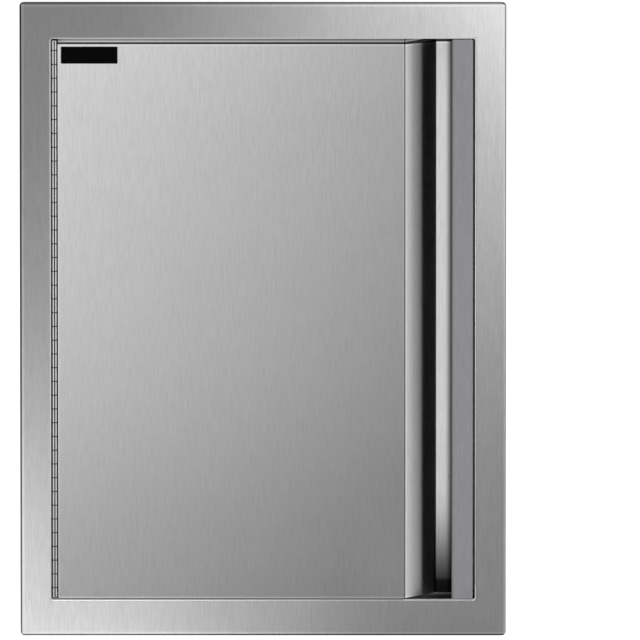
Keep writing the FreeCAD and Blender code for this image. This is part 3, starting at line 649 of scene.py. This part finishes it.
@dataclass(frozen=True)
class HingeSteel(BrushedSteel):
    """The hinge's rolled sheet: a painted dark reflection down the barrel, with painted shade at its sides
    and at each knuckle's end.

    The height is raised by forty pitches and a half, so that the modulo takes a positive number.
    """

    painted_dark_reflection: Triple = (-0.18946, 0.00095, 0.0)
    left_edge_painted_shade: Triple = (-0.19125, -0.19095, 0.10)
    right_edge_painted_shade: Triple = (-0.18765, -0.18735, 0.03)
    front: Pair = (-0.0034, -0.0028)
    pitch: float = 0.0127
    pitches_up: float = 40.5
    end_half: float = 0.00075
    end_painted_shade: float = 0.10

    def zones(self, graph: Graph, place: Socket) -> Zone:
        """The barrel's painted reflection and painted shade, across and along.

        Args:
            graph: The material's graph.
            place: The socket of object coordinates.

        Returns:
            The zone's tones and its frontal mask.
        """
        x, y, z = graph.split(place)
        # Painted shade down both sides of the barrel, where it turns away.
        right_start, right_end, right_painted_shade = self.right_edge_painted_shade
        left = graph.ramp(x, *self.left_edge_painted_shade, 1.0)
        right = graph.ramp(x, right_start, right_end, 1.0, right_painted_shade)
        # Painted shade at each knuckle's end, in the gaps between knuckles.
        along = graph.math("MODULO", graph.math("ADD", z, self.pitch * self.pitches_up), self.pitch)
        from_end = graph.math("PINGPONG", along, self.pitch / 2)
        ends = graph.band(from_end, 0.0, self.end_half, self.end_painted_shade)
        frontal = graph.chain("MAXIMUM", graph.ramp(x, *self.left_edge_painted_shade[:2], 1.0, 0.0),
                              graph.ramp(x, right_start, right_end), graph.ramp(y, *self.front, 1.0, 0.0))
        return Zone(tones=[graph.band(x, *self.painted_dark_reflection), right, left, ends], frontal=frontal)


@dataclass(frozen=True)
class DoorSteel(BrushedSteel):
    """The door's sheet, whose channel is drawn smoother than its face, with painted light and shade."""

    slope: Pair = (0.1288, 0.1570)
    slope_blur: float = 0.0002
    slope_gloss: float = -0.02
    slope_painted_shade: Pair = (1.207, 0.721)
    slope_fade: Pair = (0.25, 0.60)
    roll: float = 0.0251
    depth: float = 0.031
    painted_crease: Triple = (0.1288, 0.0009, 0.25)
    glint: Triple = (0.1305, 0.0008, 1.18)
    brow_painted_highlight: Triple = (0.1277, 0.0008, 1.20)
    floor_side: Pair = (0.1556, 0.1586)
    floor_back: Pair = (0.0263, 0.0267)
    floor_painted_light: float = 1.225
    floor_shade: Triple = (0.1652, 0.1721, 0.14)
    foot_side: Pair = (0.1552, 0.1566)
    foot: Triple = (-0.2535, -0.156, 0.045)
    foot_end_painted_shade: Triple = (-0.2470, -0.2425, 0.25)
    rim_lean: float = 0.070
    rim_painted_highlight: Quad = (0.2514, 0.2522, 1.0, 1.34)
    rim_painted_shade: Quad = (0.2527, 0.2533, 1.0, 0.05)
    bend: Pair = (-0.00395, -0.0027)
    bend_blur: Pair = (0.00004, 0.0004)
    bend_painted_highlight: float = 1.36
    left_edge_painted_shade: Triple = (-0.1864, -0.1862, 0.25)
    lower_edge_painted_highlight: Triple = (-0.2566, -0.2560, 1.35)
    low_painted_glow: Quad = (-0.25, -0.17, 1.06, 1.0)
    corner_painted_glow: Quad = (-0.25, -0.14, 0.15, 0.0)
    corner_side: Pair = (0.070, 0.128)
    top: Pair = (0.2533, 0.2535)
    top_from: float = 0.2513
    top_line: float = 0.0004
    top_front: Pair = (-0.0036, -0.0032)
    top_shadow: Pair = (0.0058, 0.0088)
    top_fade: Pair = (0.008, 0.020)
    top_painted_light_and_shade: Triple = (0.08, 1.10, 0.5)

    def zones(self, graph: Graph, place: Socket) -> Zone:
        """The slanted wall is slightly rolled; painted light and shade mark the channel and edges, dark at
        the floor's foot.

        With t from 0 at the front bend to 1 at the floor, the roll's height is r t (1 - t / 2), so the
        wall's shading turns towards the front near its bend and follows the sheet at the floor.

        Args:
            graph: The material's graph.
            place: The socket of object coordinates.

        Returns:
            The zone's tones, offsets, heights and masks.
        """
        x, y, z = graph.split(place)
        start, end = self.slope
        t = graph.add("ShaderNodeMapRange", Value=x, From_Min=start, From_Max=end).outputs["Result"]
        roll = graph.chain("MULTIPLY", t, graph.math("MULTIPLY_ADD", t, -0.5, 1.0), self.roll)
        in_channel = graph.ramp(x, start - self.slope_blur, start + self.slope_blur)
        on_face = graph.off(in_channel)
        # Painted shade on the slanted wall: light near the front bend, darker towards the floor.
        slope = graph.only(in_channel, graph.ramp(t, *self.slope_fade, *self.slope_painted_shade))
        # Painted lines along the face's fold into the channel: a dark line of painted shade, with a
        # painted highlight to its right (glint) and to its left.
        painted_crease = [graph.band(x, *line) for line in (self.painted_crease, self.glint, self.brow_painted_highlight)]
        on_floor, floor = self._floor(graph, x, y, z)

        bend_start, bend_end = self.bend
        fade_in, fade_out = self.bend_blur
        upper = graph.math("MULTIPLY_ADD", graph.math("GREATER_THAN", z, self.top_from), self.top_line, y)
        on_bend = graph.chain("MULTIPLY", graph.ramp(y, bend_start - fade_in, bend_start),
                              graph.ramp(upper, bend_end - fade_out, bend_end, 1.0, 0.0), on_face)
        # Painted highlight on the front bends and the lower edge, painted shade on the left edge by the
        # hinge.
        edges = [graph.only(on_bend, self.bend_painted_highlight), graph.ramp(z, *self.lower_edge_painted_highlight, 1.0),
                 graph.ramp(x, *self.left_edge_painted_shade, 1.0)]

        # Painted light and shade on the door's top face: a painted shadow behind the front edge, then
        # light that fades towards the back.
        highest = graph.ramp(z, *self.top)
        on_top = graph.math("MULTIPLY", highest, graph.ramp(y, *self.top_front))
        shadow, near, far = self.top_painted_light_and_shade
        behind = graph.math("MULTIPLY_ADD", t, -self.depth, y)
        top = graph.math("MULTIPLY", graph.ramp(behind, *self.top_shadow, shadow, near),
                         graph.ramp(behind, *self.top_fade, 1.0, far / near))
        # Painted highlight, and painted shade above it, along the top end of the channel under the lip.
        up = graph.math("MULTIPLY_ADD", y, self.rim_lean, z)
        rim = graph.math("MULTIPLY", graph.ramp(up, *self.rim_painted_highlight), graph.ramp(up, *self.rim_painted_shade))
        rim = graph.only(graph.math("MULTIPLY", in_channel, graph.off(highest)), rim)
        return Zone(
            tones=[slope, *painted_crease, floor, *edges, graph.only(on_top, top), rim,
                   graph.only(on_face, self._painted_glow(graph, x, z))],
            offsets=[graph.math("MULTIPLY", in_channel, self.slope_gloss)], heights=[roll],
            frontal=graph.chain("MAXIMUM", on_bend, on_top, on_floor), upright=in_channel)

    def _floor(self, graph: Graph, x: Socket, y: Socket, z: Socket) -> tuple[Socket, Socket]:
        """Paints light on the channel's floor, with painted shade towards the grip and a painted fade to
        dark at its foot.

        Args:
            graph: The material's graph.
            x: The place across.
            y: The depth.
            z: The height.

        Returns:
            The mask of the floor and the factor on the colour.
        """
        in_front = graph.ramp(y, *self.floor_back, 1.0, 0.0)
        on_floor = graph.math("MULTIPLY", graph.ramp(x, *self.floor_side), in_front)
        bright = self.floor_painted_light / self.slope_painted_shade[1]
        start, end, shade = self.floor_shade
        tone = graph.only(on_floor, graph.ramp(x, start, end, bright, shade * bright))
        # Painted shade towards the channel's foot.
        fade = graph.math("MULTIPLY", graph.ramp(z, *self.foot, 1.0), graph.ramp(z, *self.foot_end_painted_shade, 1.0))
        at_foot = graph.math("MULTIPLY", graph.ramp(x, *self.foot_side), in_front)
        return on_floor, graph.math("MULTIPLY", tone, graph.only(at_foot, fade))

    def _painted_glow(self, graph: Graph, x: Socket, z: Socket) -> Socket:
        """Paints a slow sheen on the face, brighter towards its lower edge, and more so towards its lower
        right.
        """
        corner = graph.math("MULTIPLY", graph.ramp(z, *self.corner_painted_glow), graph.ramp(x, *self.corner_side))
        return graph.math("ADD", graph.ramp(z, *self.low_painted_glow), corner)


@dataclass(frozen=True)
class TexturedFinish(Finish):
    """A metal or a plastic with a fine even texture."""

    metallic: float = 0.0
    scale: float = 1400.0
    cloud_scale: float = 60.0
    shade: float = 0.1
    spread: float = 0.06
    relief: float = 0.00002
    glint: float = 0.5

    def build(self, effects: EffectLibrary) -> Material:
        """Makes the material.

        Args:
            effects: The shared node groups.

        Returns:
            The material.
        """
        material, graph, shader, place = self._start()
        pebble = graph.add("ShaderNodeGroup", {"node_tree": effects.pebble}, Vector=place,
                           Scale=self.scale, Shade=self.shade, Spread=self.spread)
        cloud = graph.add("ShaderNodeGroup", {"node_tree": effects.cloud}, Vector=place,
                          Scale=self.cloud_scale)
        self._paint(graph, shader, [pebble.outputs["Tone"], cloud.outputs["Tone"]],
                    [pebble.outputs["Rough"], cloud.outputs["Rough"]])
        shader.inputs["Metallic"].default_value = self.metallic
        shader.inputs["Specular IOR Level"].default_value = self.glint
        bump = graph.add("ShaderNodeBump", Strength=1.0, Distance=self.relief,
                         Height=pebble.outputs["Height"])
        graph.set(shader.inputs["Normal"], bump.outputs[0])
        return material


class EdgeDresser:
    """Joins loose triangles, rounds sharp edges, shades bends smooth and keeps flats flat."""

    sharp_angle: float = math.radians(40.0)
    weld_gap: float = 0.000002
    rounding_steps: int = 2
    flat_weight: int = 100

    def __init__(self) -> None:
        """Builds the node group that shades bends smooth and keeps folds above the angle sharp."""
        self.smooth = self._smooth_group()

    def _smooth_group(self) -> NodeTree:
        """Shades faces smooth and keeps an edge sharp where its faces meet at more than the angle.

        Returns:
            The node group for a Geometry Nodes modifier.
        """
        tree = bpy.data.node_groups.new("Smooth bends", "GeometryNodeTree")
        for way in ("INPUT", "OUTPUT"):
            tree.interface.new_socket("Geometry", in_out=way, socket_type="NodeSocketGeometry")
        graph = Graph(tree)
        given, result = graph.add("NodeGroupInput"), graph.add("NodeGroupOutput")
        gentle = graph.add("FunctionNodeCompare", {"data_type": "FLOAT", "operation": "LESS_EQUAL"})
        graph.set(gentle.inputs[0], graph.add("GeometryNodeInputMeshEdgeAngle").outputs[0])
        graph.set(gentle.inputs[1], self.sharp_angle)
        faces = graph.add("GeometryNodeSetShadeSmooth", {"domain": "FACE"}, Geometry=given.outputs[0])
        edges = graph.add("GeometryNodeSetShadeSmooth", {"domain": "EDGE"}, Geometry=faces.outputs[0],
                          Shade_Smooth=gentle.outputs[0])
        graph.set(result.inputs[0], edges.outputs[0])
        return tree

    def dress(self, piece: Object, edge: Edge) -> None:
        """Gives one piece its edges.

        Args:
            piece: The piece to dress.
            edge: The finish of its sharp edges.
        """
        if edge is Edge.TURNED:
            return
        weld = piece.modifiers.new("Join", "WELD")
        weld.merge_threshold = self.weld_gap
        bevel = piece.modifiers.new("Edges", "BEVEL")
        bevel.width = edge.value
        bevel.segments = self.rounding_steps
        bevel.limit_method = "ANGLE"
        bevel.angle_limit = self.sharp_angle
        bevel.use_clamp_overlap = True
        shading = piece.modifiers.new("Bends", "NODES")
        shading.node_group = self.smooth
        flat = piece.modifiers.new("Flats", "WEIGHTED_NORMAL")
        flat.mode = "FACE_AREA"
        flat.weight = self.flat_weight
        flat.keep_sharp = True


@dataclass(frozen=True)
class SubAssembly:
    """A group of the door's pieces, listed by finish and edge."""

    label: str
    batches: tuple[tuple[str, Edge, tuple[str, ...]], ...]

    def dress(self, nodes: dict[str, Object], finishes: dict[str, Material], dresser: EdgeDresser) -> None:
        """Gives every piece its finish and its edges.

        Args:
            nodes: The construction model's objects by name.
            finishes: The materials by name.
            dresser: The maker of edges.
        """
        for finish, edge, names in self.batches:
            for piece in (nodes[name] for name in names):
                if not piece.material_slots:
                    piece.data.materials.append(finishes[finish])
                for slot in piece.material_slots:
                    slot.material = finishes[finish]
                dresser.dress(piece, edge)
            log.info("%s: %s in %s, edges %s", self.label, ", ".join(names), finish, edge.name.lower())


@dataclass
class CornerPlugs:
    """Small moulded plugs that close the sleeve's four corners beyond the ends of the rear angles."""

    finish: str = "catch_plastic"
    corner: float = 0.0020
    clear: float = 0.00005
    depth: Pair = (0.034, 0.0418)
    arc_steps: int = 8

    def build(self, finishes: dict[str, Material], dresser: EdgeDresser) -> None:
        """Makes the four plugs, each between an angle's end, the side wall and the top or bottom wall.

        Args:
            finishes: The materials by name.
            dresser: The maker of edges.
        """
        opening_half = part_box("rear_stop_top")[1][2]
        for side, sign in (("left", -1.0), ("right", 1.0)):
            low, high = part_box(f"rear_angle_{side}")
            foot, wall = sorted((abs(low[0]), abs(high[0])))
            for end, up in (("bottom", -1.0), ("top", 1.0)):
                outline = self._outline(foot, wall, high[2], opening_half) * np.array([sign, up])
                if sign * up < 0.0:
                    outline = outline[::-1]
                plug = self._prism(f"corner_plug_{end}_{side}", outline)
                plug.data.materials.append(finishes[self.finish])
                dresser.dress(plug, Edge.EASED)
                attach(plug, "frame")
                log.info("corners: %s in %s", plug.name, self.finish)

    def _outline(self, foot: float, wall: float, angle_end: float, opening_half: float) -> np.ndarray:
        """The plug seen from the front in the first quarter, with the sleeve's rounded corner.

        Args:
            foot: Distance of the angle's inner edge from the middle.
            wall: Distance of the side wall from the middle.
            angle_end: Height of the angle's end.
            opening_half: Half the height of the opening.

        Returns:
            Points of x and z, as rows.
        """
        turn = np.linspace(0.0, np.pi / 2, self.arc_steps + 1)
        radius = self.corner - self.clear
        middle = np.array([wall, opening_half]) - self.corner
        arc = middle + radius * np.stack([np.cos(turn), np.sin(turn)], 1)
        base = angle_end + self.clear
        start = np.array([[foot + self.clear, base], [wall - self.clear, base]])
        return np.vstack([start, arc, [[foot + self.clear, opening_half - self.clear]]])

    def _prism(self, name: str, outline: np.ndarray) -> Object:
        """Stretches an outline from the front to the back of the plug.

        Args:
            name: The object's name.
            outline: Points of x and z, as rows, counterclockwise seen from the front.

        Returns:
            The object.
        """
        count = len(outline)
        rings = [np.insert(outline, 1, depth, axis=1) for depth in self.depth]
        here = np.arange(count)
        following = np.roll(here, -1)
        sides = np.stack([here, here + count, following + count, following], 1)
        faces = [tuple(here), tuple(here[::-1] + count), *map(tuple, sides)]
        mesh = bpy.data.meshes.new(name)
        mesh.from_pydata(np.vstack(rings).tolist(), [], [[int(i) for i in face] for face in faces])
        mesh.validate()
        plug = bpy.data.objects.new(name, mesh)
        bpy.context.scene.collection.objects.link(plug)
        return plug


@dataclass
class Camera:
    """A long lens far in front of the door and a little above it, moved sideways and not turned."""

    lens: float = 1.6
    sensor: float = 0.036
    clip: Pair = (0.1, 100.0)
    elevation: float = 9.7
    scale: float = 0.0009094
    centre: Pair = (263.0, 318.85)
    frame_px: float = 640.0

    def build(self) -> None:
        """Makes the scene's camera.

        The distance is the lens in pixels times the size of a pixel at the door. The point in the middle
        of the picture lies beside the door's centre by the pixels between them.
        """
        distance = self.lens / self.sensor * self.frame_px * self.scale
        tilt = math.radians(self.elevation)
        right = (self.frame_px / 2 - self.centre[0]) * self.scale
        down = (self.frame_px / 2 - self.centre[1]) * self.scale / math.cos(tilt)
        back = Vector((0.0, -math.cos(tilt), math.sin(tilt)))
        data = bpy.data.cameras.new("camera")
        data.lens = self.lens * MILLIMETRES
        data.sensor_width = self.sensor * MILLIMETRES
        data.clip_start, data.clip_end = self.clip
        camera = bpy.data.objects.new("camera", data)
        camera.location = Vector((right, 0.0, -down)) + back * distance
        camera.rotation_euler = (math.pi / 2 - tilt, 0.0, 0.0)
        bpy.context.scene.collection.objects.link(camera)
        bpy.context.scene.camera = camera


@dataclass(frozen=True)
class Softbox:
    """One soft panel of light that the camera doesn't see."""

    name: str
    place: Triple
    aim: Triple
    size: Pair
    radiance: float

    def build(self) -> None:
        """Makes the light. Its power is its radiance times pi times its area."""
        data = bpy.data.lights.new(self.name, "AREA")
        data.shape = "RECTANGLE"
        data.size, data.size_y = self.size
        data.energy = self.radiance * math.pi * self.size[0] * self.size[1]
        light = bpy.data.objects.new(self.name, data)
        light.location = self.place
        light.rotation_euler = (Vector(self.aim) - Vector(self.place)).to_track_quat("-Z", "Y").to_euler()
        light.visible_camera = False
        bpy.context.scene.collection.objects.link(light)


@dataclass
class Studio:
    """The pale floor, the even surround and the soft panels."""

    floor_height: float = -0.292
    floor_size: float = 40.0
    floor_glow: float = 0.84
    mottle: Pair = (2.0, 0.02)
    surround: float = 0.22
    painted_light_pool: Pair = (0.1, -0.6)
    painted_light_pool_edge: Pair = (1.0, 3.4)
    painted_light_pool_tones: Pair = (0.85, 0.50)
    panels: tuple[Softbox, ...] = (
        Softbox("front_wall", (0.2, -4.2, 0.7), (0.2, 0.0, 0.4), (6.8, 2.4), 1.0),
        Softbox("overhead", (-0.9, -1.6, 2.6), (-0.2, -0.6, 0.0), (3.0, 2.2), 3.0),
        Softbox("behind", (0.4, 2.6, 2.6), (0.0, 1.0, 0.0), (3.0, 1.6), 1.2),
    )

    def build(self) -> None:
        """Makes the floor, the surround and the lights."""
        self._floor()
        self._surround()
        for panel in self.panels:
            panel.build()
            log.info("studio: %s", panel.name)
        view = bpy.context.scene.view_settings
        view.view_transform = "Standard"
        view.look = "None"

    def _floor(self) -> None:
        """Makes the floor: white to the eye, and to the steel a grey card painted paler in front of the
        door, as a patch of light.
        """
        s, z = self.floor_size / 2, self.floor_height
        mesh = bpy.data.meshes.new("floor")
        mesh.from_pydata([(-s, -s, z), (s, -s, z), (s, s, z), (-s, s, z)], [], [(0, 1, 2, 3)])
        floor = bpy.data.objects.new("floor", mesh)
        material = bpy.data.materials.new("pale_floor")
        material.use_nodes = True
        graph = Graph(material.node_tree)
        place = graph.add("ShaderNodeTexCoord").outputs["Object"]
        mottle_scale, mottle_shade = self.mottle
        mottle = graph.noise(graph.scaled(place, mottle_scale), detail=2.0)
        away = graph.add("ShaderNodeVectorMath", {"operation": "DISTANCE"})
        graph.set(away.inputs[0], place)
        graph.set(away.inputs[1], (*self.painted_light_pool, z))
        painted_light_pool = graph.ramp(away.outputs["Value"], *self.painted_light_pool_edge, *self.painted_light_pool_tones)
        tone = graph.math("MULTIPLY_ADD", mottle, mottle_shade, painted_light_pool)
        paint = graph.add("ShaderNodeBsdfDiffuse", Color=tone)
        glow = graph.add("ShaderNodeEmission", Strength=self.floor_glow)
        seen = graph.add("ShaderNodeAddShader")
        graph.set(seen.inputs[0], paint.outputs[0])
        graph.set(seen.inputs[1], glow.outputs[0])
        direct = graph.add("ShaderNodeLightPath").outputs["Is Camera Ray"]
        either = graph.add("ShaderNodeMixShader", Fac=direct)
        graph.set(either.inputs[1], paint.outputs[0])
        graph.set(either.inputs[2], seen.outputs[0])
        graph.add("ShaderNodeOutputMaterial", Surface=either.outputs[0])
        mesh.materials.append(material)
        bpy.context.scene.collection.objects.link(floor)

    def _surround(self) -> None:
        """Makes the surround: white to the eye, and dim to the steel."""
        world = bpy.data.worlds.new("surround")
        world.use_nodes = True
        graph = Graph(world.node_tree)
        seen = graph.add("ShaderNodeLightPath").outputs["Is Camera Ray"]
        strength = graph.ramp(seen, 0.0, 1.0, self.surround, 1.0)
        light = graph.add("ShaderNodeBackground", Color=(1.0, 1.0, 1.0, 1.0), Strength=strength)
        graph.add("ShaderNodeOutputWorld", Surface=light.outputs[0])
        bpy.context.scene.world = world


# The frame, the door and the stile are the same stainless steel; their greys differ as painted light and
# shade, the stile's darkest.
FRAME_GREY: Triple = (0.460, 0.460, 0.464)
DOOR_GREY: Triple = (0.5805, 0.5805, 0.585)
STILE_GREY: Triple = (0.358, 0.358, 0.370)

FINISHES: tuple[BrushedSteel | TexturedFinish, ...] = (
    FrameSteel("frame_steel", FRAME_GREY, 0.34, bow_and_painted_sheen=(0.01, -0.034, 0.716, 0.432), lift=(-0.02, 0.03)),
    DoorSteel("door_steel", DOOR_GREY, 0.34, anisotropy=0.88, half=(0.188, 0.2555),
              bow_and_painted_sheen=(-0.32, 0.319, -0.054, 0.0)),
    StileSteel("stile_steel", STILE_GREY, 0.34, streak=0.26, bow_and_painted_sheen=(0.0, -0.05, 0.0, 0.0)),
    BrushedSteel("plain_steel", (0.52, 0.52, 0.53), 0.42, anisotropy=0.4),
    HingeSteel("hinge_steel", (0.88, 0.88, 0.88), 0.25, anisotropy=0.2, streak=0.02),
    TexturedFinish("pin_steel", (0.55, 0.55, 0.56), 0.22, metallic=1.0),
    TexturedFinish("rivet_steel", (0.60, 0.60, 0.61), 0.28, metallic=1.0, scale=2200.0),
    TexturedFinish("screw_steel", (0.50, 0.50, 0.51), 0.30, metallic=1.0, scale=2200.0),
    TexturedFinish("zinc_steel", (0.66, 0.68, 0.70), 0.34, metallic=1.0, scale=500.0, shade=0.16),
    TexturedFinish("catch_plastic", (0.018, 0.018, 0.019), 0.48, relief=0.00004),
    TexturedFinish("magnet_ferrite", (0.045, 0.044, 0.046), 0.55, scale=900.0, relief=0.00005),
    TexturedFinish("badge_black", (0.0010, 0.0010, 0.0011), 0.42, scale=300.0, glint=0.03),
)

ASSEMBLIES: tuple[SubAssembly, ...] = (
    SubAssembly("frame", (
        ("frame_steel", Edge.DEBURRED, ("face_frame",)),
        ("plain_steel", Edge.DEBURRED, ("rear_angle_left", "rear_angle_right")),
        ("plain_steel", Edge.DEBURRED, ("rear_stop_top", "rear_stop_bottom")))),
    SubAssembly("hinge", (
        ("hinge_steel", Edge.TURNED, ("hinge_frame_leaf", "hinge_door_leaf")),
        ("pin_steel", Edge.TURNED, ("hinge_pin",)),
        ("rivet_steel", Edge.TURNED, ("hinge_frame_rivets", "hinge_door_rivets")))),
    SubAssembly("door", (
        ("door_steel", Edge.DEBURRED, ("door_skin",)),
        ("plain_steel", Edge.DEBURRED, ("door_liner",)),
        ("stile_steel", Edge.DEBURRED, ("grip_stile",)),
        ("rivet_steel", Edge.TURNED, ("liner_rivets", "stile_rivets")),
        ("badge_black", Edge.EASED, ("badge_plate",)))),
    SubAssembly("catches", (
        ("zinc_steel", Edge.DEBURRED, ("upper_strike_plate", "lower_strike_plate")),
        ("zinc_steel", Edge.DEBURRED, ("upper_catch_poles", "lower_catch_poles")),
        ("rivet_steel", Edge.TURNED, ("strike_plate_rivets",)),
        ("catch_plastic", Edge.MOULDED, ("upper_catch_housing", "lower_catch_housing")),
        ("magnet_ferrite", Edge.EASED, ("upper_catch_magnet", "lower_catch_magnet")),
        ("screw_steel", Edge.TURNED, ("catch_screws",)))),
)


def main() -> None:
    """Builds the camera, the finishes, the sub-assemblies and the studio in order."""
    logging.basicConfig(level=logging.INFO, format="%(name)s %(message)s")
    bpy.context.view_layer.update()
    Camera().build()
    effects = EffectLibrary()
    finishes = {finish.name: finish.build(effects) for finish in FINISHES}
    dresser = EdgeDresser()
    for assembly in ASSEMBLIES:
        assembly.dress(frame["nodes"], finishes, dresser)
    CornerPlugs().build(finishes, dresser)
    Studio().build()


if __name__ == "__main__":
    main()
